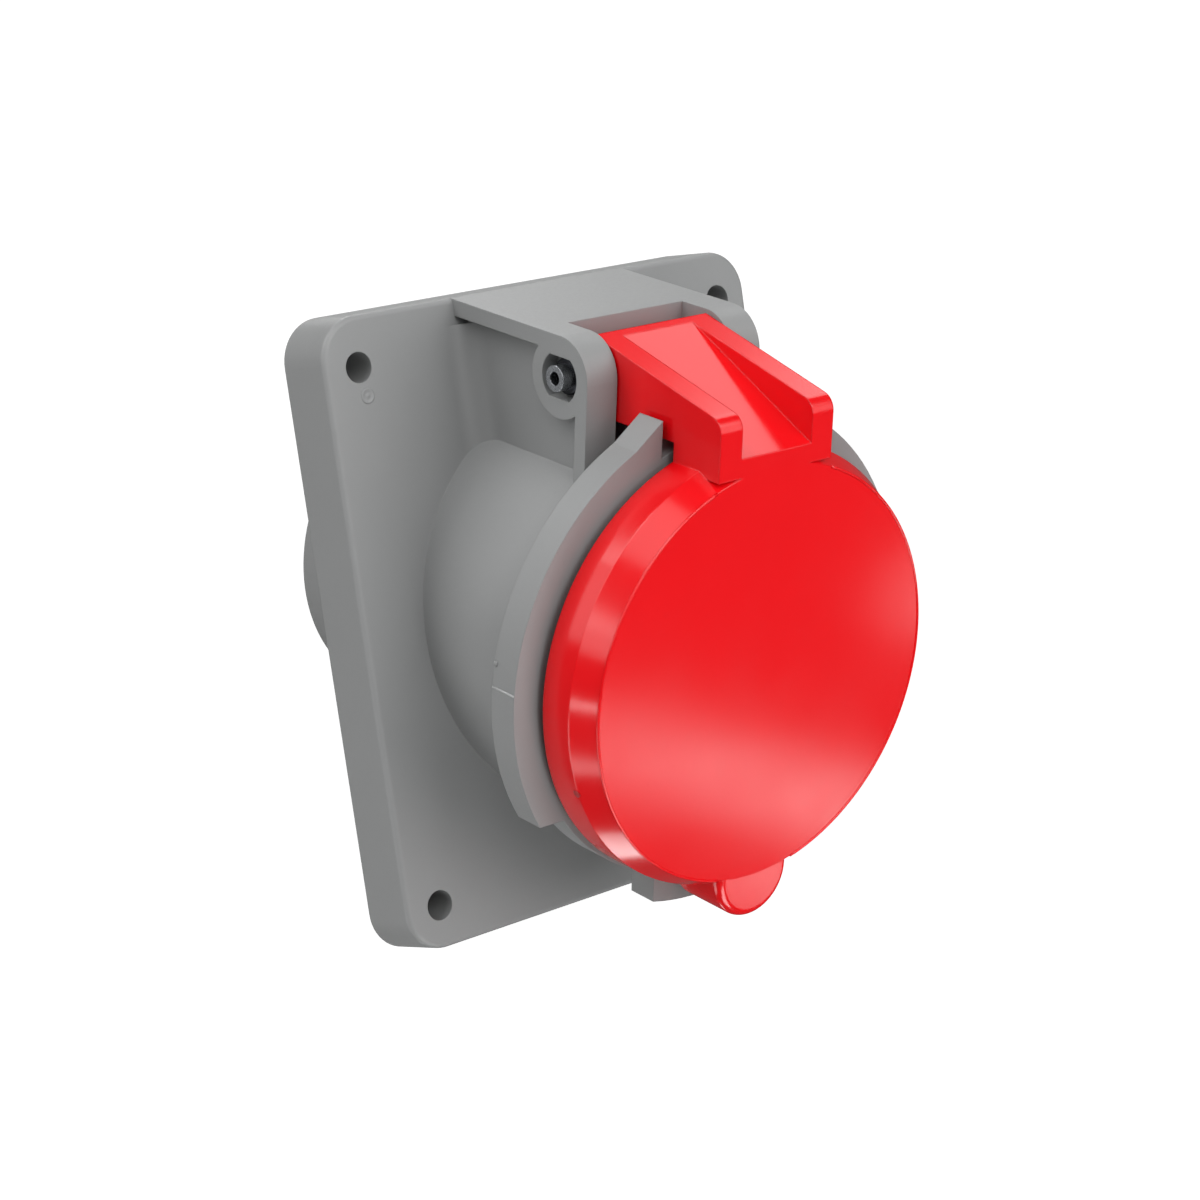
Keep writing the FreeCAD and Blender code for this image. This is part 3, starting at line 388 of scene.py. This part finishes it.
@dataclass
class Housing(SubAssembly):
    """The grey flange housing and the terminal housing behind it, with the marks that moulding leaves."""

    mark_place: Vec = (-41.7, -12.3, 43.8)
    mark_radius: float = 1.45
    mark_height: float = 0.12
    mark_shares: Profile = ((1, 0.4), (0.9, 1), (0.72, 1), (0.6, 0.15), (0.28, 0.15), (0.16, 0.8), (0, 0.8))
    pin_mark_radius: float = 2.5
    pin_mark_height: float = 0.1
    pin_mark_shares: Profile = ((1, 0.5), (0.94, 1), (0.86, 1), (0.8, 0.2), (0, 0.2))
    shell_rear: float = 45.2
    pin_mark_circle: float = 27.5
    pin_mark_angles: Sequence[float] = (90.0, 234.0, 306.0)
    lug_radius: float = 45.8
    lug_rear: float = 29.9
    lug_front: float = 35.7
    parting_angle: float = 177.1
    parting_half_width: float = 0.2
    parting_height: float = 0.12
    nub_forward: float = 30.3
    nub_angle: float = 171.7
    nub_radius: float = 0.45
    nub_height: float = 0.4
    nub_shares: Profile = ((1, 0.5), (0.75, 0.9), (0, 1))
    nub_steps: int = 20

    def build(self) -> None:
        """Dress the two mouldings and add their marks."""
        self.dress(["flange_housing", "terminal_housing"], GREY_POLYAMIDE, "grey_moulding")
        self.piece("flange_mould_mark", self.ring_mark(), GREY_POLYAMIDE, "grey_moulding", "housing")
        # The ridge's lighter finish is a painted highlight line across the lug's rim.
        self.piece("lug_parting_line", self.parting_line(), GREY_FLASH_PAINTED_HIGHLIGHT, "grey_moulding", "housing")
        self.piece("lug_nub", self.nub(), GREY_POLYAMIDE, "grey_moulding", "housing")
        for number, angle in enumerate(self.pin_mark_angles, 1):
            self.piece(f"ejector_mark_{number}", self.ejector_mark(angle), GREY_POLYAMIDE,
                       "grey_moulding", "housing")

    def ring_mark(self) -> bmesh.types.BMesh:
        """Make the low ring with a dot in it, on the flange beside the upper left hole."""
        return raised(self.mark_shares, self.mark_radius, self.mark_height,
                      Vector(self.mark_place) * MM, Vector((0, -1, 0)))

    def parting_line(self) -> bmesh.types.BMesh:
        """Make the thin ridge where the mould's halves met, across the left lug's rim."""
        outward, along = AXIS.outward(self.parting_angle), AXIS.forward()
        places = [(AXIS.point(forward, self.lug_radius, self.parting_angle), outward, along.cross(outward))
                  for forward in (self.lug_rear, self.lug_front)]
        return swept(oval(self.parting_height, self.parting_half_width), places)

    def nub(self) -> bmesh.types.BMesh:
        """Make the little stub on the left lug's rim, above the parting line."""
        return raised(self.nub_shares, self.nub_radius, self.nub_height,
                      AXIS.point(self.nub_forward, self.lug_radius, self.nub_angle),
                      AXIS.outward(self.nub_angle), self.nub_steps)

    def ejector_mark(self, angle: float) -> bmesh.types.BMesh:
        """Make the round witness of an ejector pin on the terminal housing's back.

        Args:
            angle: Degrees round the socket's axis.

        Returns:
            The mesh.
        """
        return raised(self.pin_mark_shares, self.pin_mark_radius, self.pin_mark_height,
                      AXIS.point(-self.shell_rear, self.pin_mark_circle, angle), -AXIS.forward())


@dataclass
class SprungLid(SubAssembly):
    """The red lid with its seal, the fine bead round its rim and the small cut gate on its skirt."""

    gate_forward: float = 43.9
    gate_angle: float = -159.0
    lid_radius: float = 40.8
    gate_radius: float = 0.75
    gate_height: float = 0.16
    gate_shares: Profile = ((1, 0.5), (0.8, 1), (0, 0.85))
    gate_steps: int = 20
    bead_forward: float = 49.15
    bead_circle: float = 38.35
    bead_radius: float = 0.28
    bead_arcs: Sequence[Tuple[float, float]] = ((110.5, 256.5), (-76.5, 69.5))
    bead_step: float = 1.5

    def build(self) -> None:
        """Dress the lid and its seal and add the bead and the gate."""
        self.dress(["lid"], RED_POLYAMIDE, "red_moulding")
        self.dress(["lid_gasket"], BLACK_EPDM, "black_rubber")
        for side, (start, end) in zip(("left", "right"), self.bead_arcs):
            self.piece(f"rim_bead_{side}", self.bead(start, end), RED_POLYAMIDE, "red_moulding", "cover")
        # The stub is coloured a darker red than the lid round it.
        self.piece("lid_gate", self.gate(), RED_DARKER_STUB, "red_moulding", "cover")

    def bead(self, start: float, end: float) -> bmesh.types.BMesh:
        """Make the fine raised bead along one side of the rim.

        Args:
            start: Degrees round the axis where it begins, beside the arms or the tab.
            end: Degrees where it ends.

        Returns:
            The mesh.
        """
        count = round((end - start) / self.bead_step)
        angles = [start + (end - start) * i / count for i in range(count + 1)]
        places = [(AXIS.point(self.bead_forward, self.bead_circle, angle), AXIS.outward(angle),
                   AXIS.forward()) for angle in angles]
        return swept(oval(self.bead_radius, self.bead_radius), places)

    def gate(self) -> bmesh.types.BMesh:
        """Make the little stub where the lid was cut from its runner."""
        return raised(self.gate_shares, self.gate_radius, self.gate_height,
                      AXIS.point(self.gate_forward, self.lid_radius, self.gate_angle),
                      AXIS.outward(self.gate_angle), self.gate_steps)


class Hinge(SubAssembly):
    """The hollow hinge pin, the nuts on its ends and the torsion spring round it."""

    def build(self) -> None:
        """Dress the hinge's steel."""
        self.dress(["hinge_pin"], ZINC_STEEL, "plated_steel")
        self.dress(["pin_retainers", "hinge_spring"], DARK_STEEL, "dark_steel")


@dataclass
class ContactInsert(SubAssembly):
    """The dark insert with five split contacts, their spring rings and the plate that holds them."""

    poles: Sequence[str] = ("line_contact_1", "line_contact_2", "line_contact_3", "neutral_contact",
                            "earth_contact")

    def build(self) -> None:
        """Dress the insert, the contacts and their screws."""
        self.dress(["contact_carrier", "retaining_plate"], DARK_PBT, "insert_moulding")
        self.dress(self.poles, DRAWN_BRASS, "contact_brass")
        rings = [pole.replace("contact", "spring_ring") for pole in self.poles]
        self.dress(rings, DARK_STEEL, "dark_steel")
        self.dress(["carrier_screws", "terminal_screws"], ZINC_STEEL, "plated_steel")


class Mounting(SubAssembly):
    """What seals and holds the socket: gasket, body seal and the long housing screws."""

    def build(self) -> None:
        """Dress the seals and the screws."""
        self.dress(["flange_gasket", "body_seal"], BLACK_EPDM, "black_rubber")
        self.dress(["housing_screws"], ZINC_STEEL, "plated_steel")


# The middle of the lid's front, in metres, which the two narrow lights are aimed at.
LID_MIDDLE: Vec = (0.0, -0.055, -0.012)


@dataclass(frozen=True)
class SoftBox:
    """A rectangular soft light, placed by where it stands round the socket."""

    name: str
    azimuth: float
    elevation: float
    watts: float
    width: float = 0.62
    height: float = 0.62
    distance: float = 1.2
    aim: Vec = (0.0, -0.04, 0.0)

    def light(self) -> None:
        """Add the light to the scene, out of the camera's sight."""
        turn, rise = math.radians(self.azimuth), math.radians(self.elevation)
        towards = Vector((math.sin(turn) * math.cos(rise), -math.cos(turn) * math.cos(rise), math.sin(rise)))
        data = bpy.data.lights.new(self.name, "AREA")
        data.shape = "RECTANGLE"
        data.size = self.width
        data.size_y = self.height
        data.energy = self.watts
        lamp = bpy.data.objects.new(self.name, data)
        lamp.location = Vector(self.aim) + towards * self.distance
        lamp.rotation_euler = (-towards).to_track_quat("-Z", "Y").to_euler()
        lamp.visible_camera = False
        bpy.context.scene.collection.objects.link(lamp)
        LOG.info("lit %s", self.name)


@dataclass
class Studio:
    """Plain pale floor, soft light and the camera at the photograph's angle."""

    floor_level: float = -1.3
    floor_half: float = 12.0
    floor_glow: float = 1.0
    backdrop_light: float = 1.1
    room_light: float = 0.1
    camera_place: Vec = (-0.3473, -0.4511, 0.0829)
    camera_right: Vec = (0.75939, -0.63602, -0.13713)
    camera_down: Vec = (-0.20360, -0.03211, -0.97853)
    camera_forward: Vec = (0.61796, 0.77101, -0.15387)
    focal_pixels: float = 3027.1
    image_side: float = 1200.0
    image_middle: Tuple[float, float] = (604.5, 611.9)
    sensor_mm: float = 36.0
    nearest_seen: float = 0.01
    farthest_seen: float = 100.0
    paper: str = "#FAFAFA"
    paper_roughness: float = 0.9
    soft_boxes: Sequence[SoftBox] = (
        SoftBox("left_rear_low_softbox", -120, -30, 3.5),
        SoftBox("left_rear_high_softbox", -120, 30, 1.8),
        SoftBox("left_top_softbox", -120, 60, 4.4),
        SoftBox("left_softbox", -90, 30, 2.1),
        SoftBox("front_left_top_softbox", -60, 60, 2.35),
        SoftBox("front_left_softbox", -30, 30, 2.66),
        SoftBox("front_high_softbox", 0, 30, 4.4),
        SoftBox("front_softbox", 0, 0, 2.64),
        SoftBox("front_right_softbox", 30, 0, 2.0),
        SoftBox("front_right_high_softbox", 30, 30, 2.95),
        SoftBox("right_high_softbox", 100, 45, 1.54, 0.5, 0.5),
        SoftBox("right_rear_high_softbox", 150, 45, 3.3, 0.5, 0.5),
        SoftBox("below_softbox", 0, -60, 7.0),
        SoftBox("left_window_softbox", -79, 15, 0.55, 0.16, 0.44),
        SoftBox("left_strip_softbox", -91, -16, 0.25, 0.16, 0.07),
        SoftBox("rear_low_softbox", -172, -59, 0.95, 0.35, 0.16),
        SoftBox("lid_band_softbox", 51, -37, 0.187, 0.34, 0.05, 0.8, LID_MIDDLE),
        SoftBox("lid_wedge_softbox", 62, -26, 0.04, 0.12, 0.05, 0.8, LID_MIDDLE),
    )

    def build(self) -> None:
        """Make the floor, the surroundings, the lights and the camera."""
        bpy.context.scene.view_settings.view_transform = "Standard"
        self.floor()
        self.surroundings()
        for box in self.soft_boxes:
            box.light()
        self.camera()

    def floor(self) -> None:
        """Make the white floor, which light and reflections pass by."""
        mesh = bpy.data.meshes.new("studio_floor")
        shape = bmesh.new()
        bmesh.ops.create_grid(shape, x_segments=1, y_segments=1, size=self.floor_half)
        bmesh.ops.translate(shape, verts=shape.verts, vec=(0.0, 0.0, self.floor_level))
        shape.to_mesh(mesh)
        shape.free()
        floor = bpy.data.objects.new("studio_floor", mesh)
        bpy.context.scene.collection.objects.link(floor)
        material = bpy.data.materials.new("white_paper_sweep")
        material.use_nodes = True
        tree = material.node_tree
        tree.nodes.clear()
        shader = add_node(tree, "ShaderNodeBsdfPrincipled",
                          {"Base Color": linear(self.paper), "Roughness": self.paper_roughness,
                           "Emission Color": linear(WHITE), "Emission Strength": self.floor_glow})
        add_node(tree, "ShaderNodeOutputMaterial", links={"Surface": shader.outputs["BSDF"]})
        mesh.materials.append(material)
        floor.visible_glossy = False
        floor.visible_diffuse = False
        floor.visible_shadow = False

    def surroundings(self) -> None:
        """Make a white backdrop for the camera and dimmer surroundings for the light."""
        world = bpy.data.worlds.new("studio")
        bpy.context.scene.world = world
        world.use_nodes = True
        tree = world.node_tree
        tree.nodes.clear()
        ray = add_node(tree, "ShaderNodeLightPath")
        white = linear(WHITE)
        seen = add_node(tree, "ShaderNodeBackground", {"Color": white, "Strength": self.backdrop_light})
        room = add_node(tree, "ShaderNodeBackground", {"Color": white, "Strength": self.room_light})
        both = add_node(tree, "ShaderNodeMixShader", links={"Fac": ray.outputs["Is Camera Ray"]})
        tree.links.new(room.outputs["Background"], both.inputs[1])
        tree.links.new(seen.outputs["Background"], both.inputs[2])
        add_node(tree, "ShaderNodeOutputWorld", links={"Surface": both.outputs["Shader"]})

    def camera(self) -> None:
        """Make the camera where the photograph's was."""
        data = bpy.data.cameras.new("camera")
        data.sensor_width = self.sensor_mm
        data.lens = self.sensor_mm * self.focal_pixels / self.image_side
        data.shift_x = 0.5 - self.image_middle[0] / self.image_side
        data.shift_y = self.image_middle[1] / self.image_side - 0.5
        data.clip_start = self.nearest_seen
        data.clip_end = self.farthest_seen
        camera = bpy.data.objects.new("camera", data)
        right, down, forward = self.camera_right, self.camera_down, self.camera_forward
        turn = Matrix([[right[i], -down[i], -forward[i]] for i in range(3)]).to_4x4()
        camera.matrix_world = Matrix.Translation(self.camera_place) @ turn
        bpy.context.scene.collection.objects.link(camera)
        bpy.context.scene.camera = camera


def main() -> None:
    """Build the sub-assemblies and the studio."""
    logging.basicConfig(level=logging.INFO, format="%(name)s: %(message)s")
    for part in (Housing(), SprungLid(), Hinge(), ContactInsert(), Mounting(), Studio()):
        LOG.info("building %s", type(part).__name__)
        part.build()


if __name__ == "__main__":
    main()
